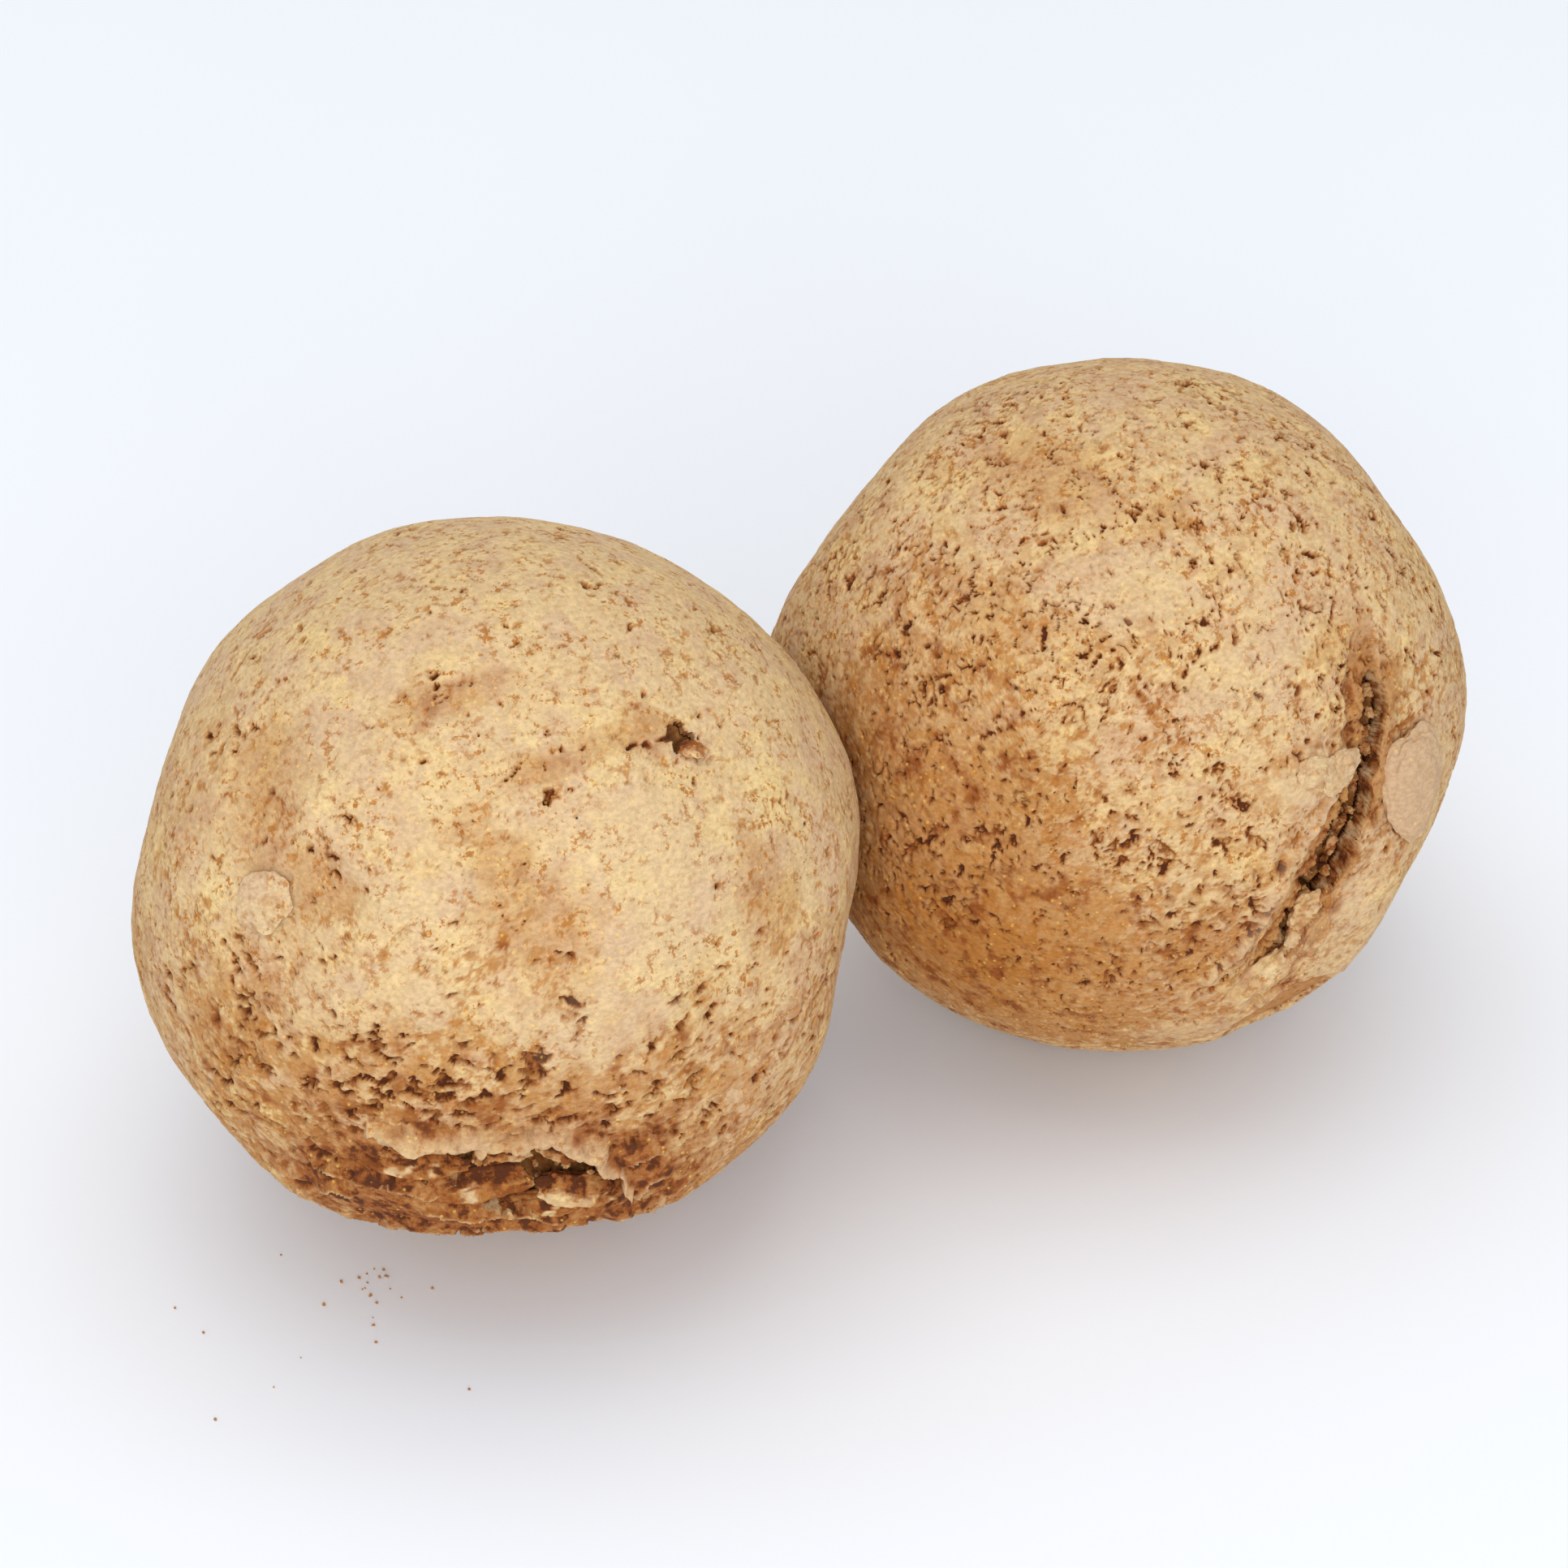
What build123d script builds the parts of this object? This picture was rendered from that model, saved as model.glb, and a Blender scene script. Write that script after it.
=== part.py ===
from build123d import *
import os
from math import cos, degrees, radians, sin, sqrt

# A pair of hand-pressed herbal compress balls, standing side by side on a flat surface.
# Each ball is a coarse core of pressed herb powder inside a thin burnished rind. The rind is
# torn where the wrapping cloth was twisted shut, and folds and crumbs of paste are lodged in
# the tear. Millimetres, +Z up. The origin is the centre of the front ball's flat foot, and +X
# runs from the front ball to the rear ball.

# ---------------------------------------------------------------- driving dimensions
ROUND_RADIUS = 33.2         # of a ball where hand pressing left it fullest
RIND_THICKNESS = 1.2        # burnished outer layer over the coarse core
FOOT_DEPTH = 1.1            # how much the damp ball settled on its drying tray
FACET_RADIUS = 78.0         # curvature of the broad, flatter places
CONTACT_FLAT_DEPTH = 1.65   # flattening where the two damp balls leaned on each other
BALL_GAP = 0.3              # clearance between the two dry balls

TEAR_HALF_WIDTH = 3.6       # of a torn gather, across
FRONT_TEAR_HALF_LENGTH = 8.5
REAR_TEAR_HALF_LENGTH = 9.0
TEAR_SINK = 0.4             # the tear's axis lies this far under the surface
LUMP_CLEARANCE = 0.15       # between neighbouring lumps in one tear

PAT_RADIUS = 5.2            # smooth pat of paste smeared on the front ball
PAT_PROUD = 0.25            # how far a pat's middle stands out of the rind
PAT_BITE = 0.15             # how far the front ball's pat reaches into the core
NICK_SIDE = 4.6             # triangular nick where a coarse bit broke out
NICK_DEPTH = 2.4
NICK_TAPER = 22             # degrees, so that the nick narrows inwards
CHIP_RADIUS = 1.7           # chip hanging on the nick's lower edge
CHIP_THICKNESS = 1.1
FLAP_RADIUS = 5.6           # broad flap of rind on the outer side of the rear tear
FLAP_THICKNESS = 2.4
LIP_RADIUS = 3.7            # plump lip of paste on the inner side of the rear tear
LIP_THICKNESS = 2.0
CRUMB_RADIUS = 1.0          # largest crumb caught in the rear tear

# ---------------------------------------------------------------- places on a ball
# A place is (azimuth, elevation) in degrees, with the azimuth from +X towards +Y.
FRONT_FACETS = [            # (place, depth below the round radius)
    ((145, 12), 1.8),
    ((-116, -55), 2.0),
    ((-32, -8), 1.3),
    ((110, 35), 0.8),
    ((-107, 33), 0.9),
    ((0, 0), CONTACT_FLAT_DEPTH),
]
REAR_FACETS = [
    ((160, -28), 1.9),
    ((132, 30), 1.5),
    ((-45, -22), 1.4),
    ((-5, 30), 1.4),
    ((-140, 20), 0.8),
    ((180, 0), CONTACT_FLAT_DEPTH),
]
FRONT_TEAR = ((-109, -12), FRONT_TEAR_HALF_LENGTH, 6)   # (place, half length, tilt)
REAR_UPPER_TEAR = ((-72, 15), REAR_TEAR_HALF_LENGTH, 62)
REAR_LOWER_TEAR = ((-84, -8), REAR_TEAR_HALF_LENGTH, 72)
PAT_PLACE = (-155, 26)
NICK_PLACE = (-63, 49)

# ---------------------------------------------------------------- what lies in a tear
# A fold is (tear, along, across, half length, half width, depth of its axis, turn). The lengths
# along the tear are shares of its half length and the others are shares of its half width.
FRONT_FOLDS = [
    (FRONT_TEAR, 0.13, -0.11, 0.66, 0.53, 0.69, -2),
    (FRONT_TEAR, -0.30, 0.72, 0.59, 0.42, 0.36, 4),
    (FRONT_TEAR, -0.17, -0.77, 0.56, 0.42, 0.36, -2),
]
REAR_FOLDS = [
    (REAR_LOWER_TEAR, -0.33, -0.10, 0.49, 0.56, 0.69, 2),
    (REAR_LOWER_TEAR, 0.39, -0.36, 0.44, 0.50, 0.69, -6),
    (REAR_UPPER_TEAR, -0.49, -0.12, 0.38, 0.44, 0.72, -2),
]
# A crumb is (tear, along, across, depth of its centre, share of the largest crumb's radius).
REAR_CRUMBS = [
    (REAR_UPPER_TEAR, 0.34, -0.25, 0.80, 1.0),
    (REAR_UPPER_TEAR, 0.03, -0.14, 0.92, 0.8),
    (REAR_UPPER_TEAR, 0.63, -0.22, 0.61, 0.7),
    (REAR_UPPER_TEAR, 0.17, 0.58, 0.53, 0.7),
]
CHIP_DROP = 2.0             # from the nick's middle down to the chip's
FLAP_OVERHANG = 1.3         # how far the flap reaches over the tear's edge
FLAP_DROP = 0.4             # along the tear, from its middle to the flap's
LIP_OVERHANG = 1.8
LIP_DROP = 1.6

# ---------------------------------------------------------------- derived sizes
CENTRE_HEIGHT = ROUND_RADIUS - FOOT_DEPTH
CENTRE_SPACING = 2 * (ROUND_RADIUS - CONTACT_FLAT_DEPTH) + BALL_GAP
FOOT_RADIUS = sqrt(ROUND_RADIUS**2 - CENTRE_HEIGHT**2)
PAT_THICKNESS = PAT_PROUD + RIND_THICKNESS + PAT_BITE
FRONT_CENTRE = Pos(0, 0, CENTRE_HEIGHT)
REAR_CENTRE = Pos(CENTRE_SPACING, 0, CENTRE_HEIGHT)


# ---------------------------------------------------------------- the ball and its surface
def direction(place):
    """Unit vector from a ball's centre towards a place."""
    azimuth, elevation = (radians(angle) for angle in place)
    return Vector(cos(elevation) * cos(azimuth), cos(elevation) * sin(azimuth), sin(elevation))


def facet_centre(place, depth):
    """Centre of the large sphere that forms a facet."""
    return direction(place) * (ROUND_RADIUS - depth - FACET_RADIUS)


def surface_radius(place, facets):
    """Distance from the ball's centre to its surface at a place."""
    outward = direction(place)
    reach = ROUND_RADIUS
    for facet_place, depth in facets:
        centre = facet_centre(facet_place, depth)
        along = centre.dot(outward)
        reach = min(reach, along + sqrt(along**2 - centre.dot(centre) + FACET_RADIUS**2))
    return reach


def on_surface(place, facets, sink=0.0, turn=0.0):
    """Location under the surface of a ball centred at the origin: local Z points outwards,
    and local X lies along the ball's parallel, turned by an angle."""
    along = Vector(-sin(radians(place[0])), cos(radians(place[0])), 0)
    point = direction(place) * (surface_radius(place, facets) - sink)
    return Location(Plane(origin=point, x_dir=along, z_dir=direction(place))) * Rotation(0, 0, turn)


def beside(place, right, up, tilt=0.0):
    """The place that lies some millimetres right of and above another, in axes tilted by an angle."""
    azimuth, elevation = place
    turned = Vector(right, up, 0).rotate(Axis.Z, tilt)
    parallel_radius = ROUND_RADIUS * cos(radians(elevation))
    return azimuth + degrees(turned.X / parallel_radius), elevation + degrees(turned.Y / ROUND_RADIUS)


def in_tear(tear, along, across):
    """The place at shares of a tear's half length and half width from its middle."""
    place, half_length, tilt = tear
    return beside(place, along * half_length, across * TEAR_HALF_WIDTH, tilt)


def pressed_ball(facets, inset=0.0):
    """A ball centred at the origin, with its facets and its flat foot, shrunk evenly."""
    ball = Sphere(ROUND_RADIUS - inset)
    for place, depth in facets:
        ball = ball & Pos(facet_centre(place, depth)) * Sphere(FACET_RADIUS - inset)
    above_foot = Box(
        3 * ROUND_RADIUS,
        3 * ROUND_RADIUS,
        3 * ROUND_RADIUS,
        align=(Align.CENTER, Align.CENTER, Align.MIN),
    )
    return ball & Pos(0, 0, inset - CENTRE_HEIGHT) * above_foot


# ---------------------------------------------------------------- shapes of paste
def ellipsoid(half_length, half_width):
    """Ellipsoid of revolution about local X, with its seam turned downwards."""
    upper_half = Pos(0, half_width) * Rectangle(2.5 * half_length, 2 * half_width)
    return Rotation(180, 0, 0) * revolve(Ellipse(half_length, half_width) & upper_half, Axis.X, 360)


def lens(radius, thickness):
    """Round lens about local Z: two equal caps back to back."""
    half = thickness / 2
    cap_radius = (radius**2 + half**2) / thickness
    cap = Sphere(cap_radius)
    return (Pos(0, 0, cap_radius - half) * cap) & (Pos(0, 0, half - cap_radius) * cap)


def pat(place, radius, thickness, facets):
    """A lens pressed into the rind, its middle standing a little proud."""
    return on_surface(place, facets, thickness / 2 - PAT_PROUD) * lens(radius, thickness)


def tear_room(tears, facets):
    """The room that a torn gather takes out of a ball."""
    room = None
    for place, half_length, tilt in tears:
        stretch = on_surface(place, facets, TEAR_SINK, tilt) * ellipsoid(half_length, TEAR_HALF_WIDTH)
        room = stretch if room is None else room + stretch
    return room


def folds(rows, room, facets):
    """Folds of paste trimmed to the tear's room. Each keeps clear of those before it."""
    kept = []
    free = room
    for tear, along, across, length, width, depth, turn in rows:
        half_length = length * tear[1]
        half_width = width * TEAR_HALF_WIDTH
        place = in_tear(tear, along, across)
        seat = on_surface(place, facets, depth * TEAR_HALF_WIDTH, tear[2] + turn)
        kept += (seat * ellipsoid(half_length, half_width) & free).solids()
        free = free - seat * ellipsoid(half_length + LUMP_CLEARANCE, half_width + LUMP_CLEARANCE)
    return Compound(children=kept), free


def crumbs(rows, room, facets):
    """Crumbs caught against the wall of the tear, with each sphere's poles turned along it."""
    kept = []
    free = room
    for tear, along, across, depth, share in rows:
        place = in_tear(tear, along, across)
        seat = on_surface(place, facets, depth * TEAR_HALF_WIDTH) * Rotation(90, 0, 0)
        radius = share * CRUMB_RADIUS
        kept += (seat * Sphere(radius) & free).solids()
        free = free - seat * Sphere(radius + LUMP_CLEARANCE)
    return Compound(children=kept)


def nick_room(facets):
    """Triangular pocket that narrows inwards, open to the outside."""
    mouth = RegularPolygon(NICK_SIDE / sqrt(3), 3)
    pocket = extrude(mouth, amount=-NICK_DEPTH, taper=NICK_TAPER)
    above = extrude(mouth, amount=NICK_DEPTH)
    return on_surface(NICK_PLACE, facets, turn=90) * (pocket + above)


# ---------------------------------------------------------------- the two balls
def front_ball():
    """The front ball's pieces by name, centred at the origin."""
    outer = pressed_ball(FRONT_FACETS)
    core = pressed_ball(FRONT_FACETS, RIND_THICKNESS)
    tear = tear_room([FRONT_TEAR], FRONT_FACETS)
    side_pat = pat(PAT_PLACE, PAT_RADIUS, PAT_THICKNESS, FRONT_FACETS)
    chip_place = beside(NICK_PLACE, 0, -CHIP_DROP)
    chip = pat(chip_place, CHIP_RADIUS, CHIP_THICKNESS, FRONT_FACETS)
    removed = tear + side_pat + chip + nick_room(FRONT_FACETS)
    gather_folds, _ = folds(FRONT_FOLDS, tear & outer, FRONT_FACETS)
    return {
        "front_core": core - removed,
        "front_rind": outer - core - removed,
        "front_gather_folds": gather_folds,
        "front_side_pat": side_pat,
        "front_nick_chip": chip,
    }


def rear_ball():
    """The rear ball's pieces by name, centred at the origin."""
    outer = pressed_ball(REAR_FACETS)
    core = pressed_ball(REAR_FACETS, RIND_THICKNESS)
    tear_place, _, tilt = REAR_UPPER_TEAR
    flap_reach = TEAR_HALF_WIDTH + FLAP_RADIUS - FLAP_OVERHANG
    flap_place = beside(tear_place, -FLAP_DROP, -flap_reach, tilt)
    flap = pat(flap_place, FLAP_RADIUS, FLAP_THICKNESS, REAR_FACETS)
    lip_reach = TEAR_HALF_WIDTH + LIP_RADIUS - LIP_OVERHANG
    lip_place = beside(tear_place, -LIP_DROP, lip_reach, tilt)
    lip = pat(lip_place, LIP_RADIUS, LIP_THICKNESS, REAR_FACETS)
    tear = tear_room([REAR_UPPER_TEAR, REAR_LOWER_TEAR], REAR_FACETS)
    removed = tear + flap + lip
    open_room = (tear & outer) - flap - lip
    gather_folds, free = folds(REAR_FOLDS, open_room, REAR_FACETS)
    return {
        "rear_core": core - removed,
        "rear_rind": outer - core - removed,
        "rear_gather_folds": gather_folds,
        "rear_gather_flap": flap,
        "rear_gather_lip": lip,
        "rear_gather_crumbs": crumbs(REAR_CRUMBS, free, REAR_FACETS),
    }


def build():
    """Writes one STEP file per piece."""
    os.makedirs("parts", exist_ok=True)
    for centre, pieces in ((FRONT_CENTRE, front_ball()), (REAR_CENTRE, rear_ball())):
        for name, piece in pieces.items():
            placed = Compound(children=[centre * solid for solid in piece.solids()])
            export_step(placed, f"parts/{name}.step")
            print(name, len(placed.solids()), "solids,", round(placed.volume, 1), "mm3")
    print("centre height", CENTRE_HEIGHT, "spacing", CENTRE_SPACING, "foot radius", round(FOOT_RADIUS, 2))


build()
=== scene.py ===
# %% [markdown]
# # A pair of herbal compress balls
#
# Two loose balls of dried, pressed herb powder stand side by side. Each has a coarse core, a
# thin pale rind that the maker's palms burnished, and a torn gather where the wrapping cloth
# was twisted shut while the paste was damp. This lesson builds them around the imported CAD
# frame, which gives every place and size. The relief is real geometry: a fine sphere mesh is
# pushed in and out by numbers worked out in numpy, which is quicker than sculpting and comes
# out the same each time.

# %% Load the frame
from math import cos, radians, sin

import bpy
import numpy as np
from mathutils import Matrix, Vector
from mathutils.bvhtree import BVHTree


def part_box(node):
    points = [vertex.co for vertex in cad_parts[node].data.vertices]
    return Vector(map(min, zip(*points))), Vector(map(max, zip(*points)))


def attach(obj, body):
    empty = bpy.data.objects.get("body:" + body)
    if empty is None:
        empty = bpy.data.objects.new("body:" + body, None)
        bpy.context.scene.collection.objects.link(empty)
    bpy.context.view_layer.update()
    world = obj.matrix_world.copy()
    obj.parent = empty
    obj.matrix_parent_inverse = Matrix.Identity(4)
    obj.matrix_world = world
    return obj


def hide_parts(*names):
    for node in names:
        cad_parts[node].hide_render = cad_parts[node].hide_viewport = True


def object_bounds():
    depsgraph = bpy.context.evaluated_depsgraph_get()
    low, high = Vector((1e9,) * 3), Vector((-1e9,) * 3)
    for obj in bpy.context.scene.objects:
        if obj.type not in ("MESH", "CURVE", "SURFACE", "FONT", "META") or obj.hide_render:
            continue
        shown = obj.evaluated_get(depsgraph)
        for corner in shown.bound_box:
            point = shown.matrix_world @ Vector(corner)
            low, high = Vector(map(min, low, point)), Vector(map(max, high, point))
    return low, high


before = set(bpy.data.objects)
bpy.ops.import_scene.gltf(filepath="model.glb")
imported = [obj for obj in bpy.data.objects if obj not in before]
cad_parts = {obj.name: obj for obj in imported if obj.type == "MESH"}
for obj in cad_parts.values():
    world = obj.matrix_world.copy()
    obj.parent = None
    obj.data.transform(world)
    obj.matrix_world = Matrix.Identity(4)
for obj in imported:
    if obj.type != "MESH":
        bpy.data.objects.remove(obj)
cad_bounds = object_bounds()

MM = 0.001


# %% [markdown]
# ## Where things are on a ball
#
# A ball's features are easiest to place as on a globe: an azimuth round it and an elevation up
# it. A chart is a flat map of the skin about one place, in millimetres right and up, and it is
# what all later shaping measures in.

# %% Places and charts
def unit(vectors):
    return vectors / np.linalg.norm(vectors, axis=-1, keepdims=True)


def direction(azimuth, elevation):
    azimuth, elevation = radians(azimuth), radians(elevation)
    return np.array([cos(elevation) * cos(azimuth), cos(elevation) * sin(azimuth), sin(elevation)])


def axes_at(azimuth, elevation, tilt=0.0):
    """Right, up and outward directions of the skin at a place, turned by a tilt."""
    outward = direction(azimuth, elevation)
    right = np.array([-sin(radians(azimuth)), cos(radians(azimuth)), 0.0])
    up = np.cross(outward, right)
    turn = radians(tilt)
    return right * cos(turn) + up * sin(turn), up * cos(turn) - right * sin(turn), outward


def chart(spots, azimuth, elevation, tilt=0.0):
    """Millimetres right of and above a place, for points of the skin. The far side is far off."""
    right, up, outward = axes_at(azimuth, elevation, tilt)
    far = np.where(spots @ outward > 0, 0.0, 1000.0)
    return spots @ right + far, spots @ up + far


def step(low, high, values):
    """Rises smoothly from 0 at low to 1 at high."""
    t = np.clip((values - low) / (high - low), 0, 1)
    return t * t * (3 - 2 * t)


def patch(spots, azimuth, elevation, long, tall, tilt=0.0, soft=0.5):
    """A soft-edged oval: 1 in its middle, falling to 0 round its edge."""
    x, y = chart(spots, azimuth, elevation, tilt)
    return 1 - step(1 - soft, 1 + soft, np.hypot(x / long, y / tall))


# %% [markdown]
# ## Repeatable roughness
#
# Pressed powder is rough at every size, from palm-wide dents to single grains. Blender's
# texture nodes could displace a mesh, but then the shape would live in a modifier. Here the
# same kind of smooth noise is worked out for all points at once, so that the relief ends up in
# the mesh and its depth can also steer the colours.

# %% Noise, layers of it, and scattered holes
CORNERS = [(x, y, z) for x in (0, 1) for y in (0, 1) for z in (0, 1)]
STEPS = [(x, y, z) for x in (-1, 0, 1) for y in (-1, 0, 1) for z in (-1, 0, 1)]
SLOPES = np.array([way for way in STEPS if sum(abs(part) for part in way) == 2], np.float32)
PRIMES = np.array([[73856093], [19349663], [83492791]], np.uint32)
NOISE_GAIN = 1.5   # brings the noise to about -1 to 1
LAYERS_GAIN = 1.4  # the same for a sum of layers


def lattice_keys(cells):
    """Whole numbers for the low and the high side of each lattice cell, axis by axis."""
    low = cells.astype(np.int32).view(np.uint32) * PRIMES
    return low, low + PRIMES


def scramble(keys, corner, seed):
    """A repeatable whole number for one corner of each cell."""
    mixed = keys[corner[0]][0] ^ keys[corner[1]][1] ^ keys[corner[2]][2] ^ np.uint32(seed * 40503)
    mixed = (mixed ^ (mixed >> np.uint32(13))) * np.uint32(1274126177)
    mixed = (mixed ^ (mixed >> np.uint32(15))) * np.uint32(668265263)
    return mixed ^ (mixed >> np.uint32(16))


def noise(spots, size, seed):
    """Smooth noise from -1 to 1 whose lumps are about a given size."""
    scaled = np.ascontiguousarray(np.asarray(spots).T / size, dtype=np.float32)
    cells = np.floor(scaled)
    part = scaled - cells
    blend = part * part * part * (part * (part * 6 - 15) + 10)
    weights, parts, keys = (1 - blend, blend), (part, part - 1), lattice_keys(cells)
    total = np.zeros(scaled.shape[1], np.float32)
    for corner in CORNERS:
        slope = SLOPES[scramble(keys, corner, seed) % np.uint32(len(SLOPES))]
        rise = sum(parts[corner[axis]][axis] * slope[:, axis] for axis in range(3))
        total += rise * weights[corner[0]][0] * weights[corner[1]][1] * weights[corner[2]][2]
    return total * NOISE_GAIN


def layers(spots, size, seed, count=4, keep=0.55):
    """Noise in layers, each half the size of the one before it and weaker."""
    total, weight, sum_of_weights = 0.0, 1.0, 0.0
    for layer in range(count):
        total = total + weight * noise(spots + 37.7 * layer, size / 2**layer, seed + 11 * layer)
        sum_of_weights += weight
        weight *= keep
    return total / sum_of_weights * LAYERS_GAIN


def warp(spots, size, amount, seed):
    """Points pushed about by noise, which makes whatever is drawn at them ragged."""
    return spots + amount * np.stack([noise(spots, size, seed + k) for k in (0, 1, 2)], axis=1)


def holes(spots, spacing, seed, share):
    """Scattered round holes: 1 in a hole's middle, 0 outside. Share is how many cells have one."""
    scaled = np.asarray(spots).T / spacing
    cells = np.floor(scaled - 0.5)
    keys = lattice_keys(cells)
    deepest = np.zeros(scaled.shape[1])
    for corner in CORNERS:
        chance = [scramble(keys, corner, seed + 101 * k) / 2**32 for k in range(5)]
        middle = cells + np.array(corner)[:, None] + 0.5 + (np.stack(chance[:3]) - 0.5) * 0.6
        radius = 0.15 + 0.35 * chance[3]
        depth = np.clip(1 - np.linalg.norm(scaled - middle, axis=0) / radius, 0, 1)
        deepest = np.maximum(deepest, depth * (chance[4] < share))
    return deepest


# %% [markdown]
# ## A fine, even ball mesh
#
# A longitude and latitude sphere pinches at its poles, and an icosphere can't be cut into neat
# blocks. A cube that is blown up to a sphere has small, nearly square faces everywhere. Its
# blocks can be left coarse where nobody looks, such as the rind's inner side.

# %% The grid, and meshes made from it
BLOCK = 8


def ball_grid(cuts):
    """Directions of a blown-up cube's points, and each side's table of point numbers."""
    steps = np.arange(cuts + 1)
    sides = []
    for axis in range(3):
        for end in (0, cuts):
            place = np.empty((cuts + 1, cuts + 1, 3), np.int64)
            first, second = ((axis + 1) % 3, (axis + 2) % 3)[:: 1 if end else -1]
            place[..., axis] = end
            place[..., first] = steps[:, None]
            place[..., second] = steps[None, :]
            sides.append(place)
    places = np.array(sides)
    keys = (places[..., 0] * (cuts + 1) + places[..., 1]) * (cuts + 1) + places[..., 2]
    _, first_at, numbers = np.unique(keys, return_index=True, return_inverse=True)
    corners = places.reshape(-1, 3)[first_at]
    return unit(np.tan((corners / cuts * 2 - 1) * np.pi / 4)), numbers.reshape(6, cuts + 1, cuts + 1)


def grid_quads(numbers):
    """Corner numbers of every small face, facing outwards."""
    corners = (numbers[:, :-1, :-1], numbers[:, 1:, :-1], numbers[:, 1:, 1:], numbers[:, :-1, 1:])
    return np.stack(corners, axis=-1).reshape(-1, 4)


def blocky_faces(numbers, fine):
    """Faces that are small where fine is true, and as large as a block elsewhere. A large face
    keeps the points along its rim that its small neighbours use, so that no gap opens."""
    cuts = numbers.shape[1] - 1
    blocks = cuts // BLOCK
    quads = grid_quads(numbers).reshape(6, blocks, BLOCK, blocks, BLOCK, 4)
    quads = quads.transpose(0, 1, 3, 2, 4, 5).reshape(6 * blocks * blocks, BLOCK * BLOCK, 4)
    is_fine = fine[quads].any(axis=(1, 2))
    small = quads[is_fine].reshape(-1, 4)
    used = np.zeros(len(fine), bool)
    used[small] = True
    walk = [(i, 0) for i in range(BLOCK)] + [(BLOCK, i) for i in range(BLOCK)]
    walk += [(BLOCK - i, BLOCK) for i in range(BLOCK)] + [(0, BLOCK - i) for i in range(BLOCK)]
    large = []
    for side in range(6):
        for i in range(blocks):
            for j in range(blocks):
                if is_fine[(side * blocks + i) * blocks + j]:
                    continue
                rim = [numbers[side, i * BLOCK + a, j * BLOCK + b] for a, b in walk]
                large.append([n for k, n in enumerate(rim) if k % BLOCK == 0 or used[n]])
    return small, large


def add_object(name, data):
    made = bpy.data.objects.new(name, data)
    bpy.context.scene.collection.objects.link(made)
    return made


def make_piece(name, points, face_groups, marks, material):
    """A mesh object from points in millimetres, groups of faces, and named marks per point."""
    groups = [group for group in face_groups if len(group)]
    lengths = np.concatenate([[len(face) for face in group] for group in groups])
    loops = np.concatenate([np.concatenate([np.asarray(face) for face in group]) for group in groups])
    used, loops = np.unique(loops, return_inverse=True)
    mesh = bpy.data.meshes.new(name)
    mesh.vertices.add(len(used))
    mesh.vertices.foreach_set("co", (points[used] * MM).astype(np.float32).ravel())
    mesh.loops.add(len(loops))
    mesh.loops.foreach_set("vertex_index", loops.astype(np.int32))
    mesh.polygons.add(len(lengths))
    starts = np.concatenate([[0], np.cumsum(lengths)[:-1]])
    mesh.polygons.foreach_set("loop_start", starts.astype(np.int32))
    mesh.polygons.foreach_set("use_smooth", np.ones(len(lengths), bool))
    mesh.update(calc_edges=True)
    for mark, values in marks.items():
        layer = mesh.attributes.new(mark, "FLOAT", "POINT")
        layer.data.foreach_set("value", np.asarray(values)[used].astype(np.float32))
    mesh.validate()
    mesh.materials.append(material)
    print(name, len(mesh.vertices), "points", len(mesh.polygons), "faces")
    return add_object(name, mesh)


# %% [markdown]
# ## The CAD ball under the relief
#
# Hand pressing left each ball with broad flatter places, which the CAD rind holds. Rays shot
# outwards from the ball's centre find that skin, and a smooth sum of wide bumps is fitted to
# what they hit. The fit softens the creases between the flatter places, as palms do, and
# bridges the torn openings.

# %% Measure a ball
RAY_CUTS = 24
BUMPS = 240
BUMP_SHARPNESS = 26.0
SOUND_SHARE = 0.94  # a ray that gets deeper than this share of the radius went into a tear


def spiral(count):
    """Directions spread evenly over a sphere."""
    turn = np.arange(count) * np.pi * (3 - 5**0.5)
    height = 1 - (np.arange(count) + 0.5) * 2 / count
    ring = np.sqrt(1 - height**2)
    return np.stack([ring * np.cos(turn), ring * np.sin(turn), height], axis=1)


def bumps_at(directions):
    return np.exp(BUMP_SHARPNESS * (directions @ spiral(BUMPS).T - 1))


def measure_ball(name):
    """Centre, round radius and fitted skin of a CAD ball, in millimetres."""
    low, high = (np.array(corner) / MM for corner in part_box(f"{name}_rind"))
    radius = (high[1] - low[1]) / 2
    middle_x = low[0] + radius if name == "front" else high[0] - radius
    centre = np.array([middle_x, (low[1] + high[1]) / 2, high[2] - radius])
    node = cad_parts[f"{name}_rind"].data
    tree = BVHTree.FromPolygons([v.co for v in node.vertices], [p.vertices for p in node.polygons])
    directions, _ = ball_grid(RAY_CUTS)
    found = []
    for way in directions:
        hit = tree.ray_cast(Vector((centre + way * 2 * radius) * MM), Vector(-way))
        reach = np.linalg.norm(np.array(hit[0]) / MM - centre) if hit[0] else 0.0
        found.append(reach)
    found = np.array(found)
    sound = found > radius * SOUND_SHARE
    weights = np.linalg.lstsq(bumps_at(directions[sound]), found[sound] - radius, rcond=None)[0]
    print(name, "centre", centre.round(2), "radius", round(radius, 2), "sound rays", sound.sum())
    return {"name": name, "centre": centre, "radius": radius, "weights": weights,
            "contact": high[0] if name == "front" else low[0]}


def skin_radius(ball, directions):
    parts = [bumps_at(some) @ ball["weights"] for some in np.array_split(directions, 8)]
    return ball["radius"] + np.concatenate(parts)


FRONT = measure_ball("front")
REAR = measure_ball("rear")


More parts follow.
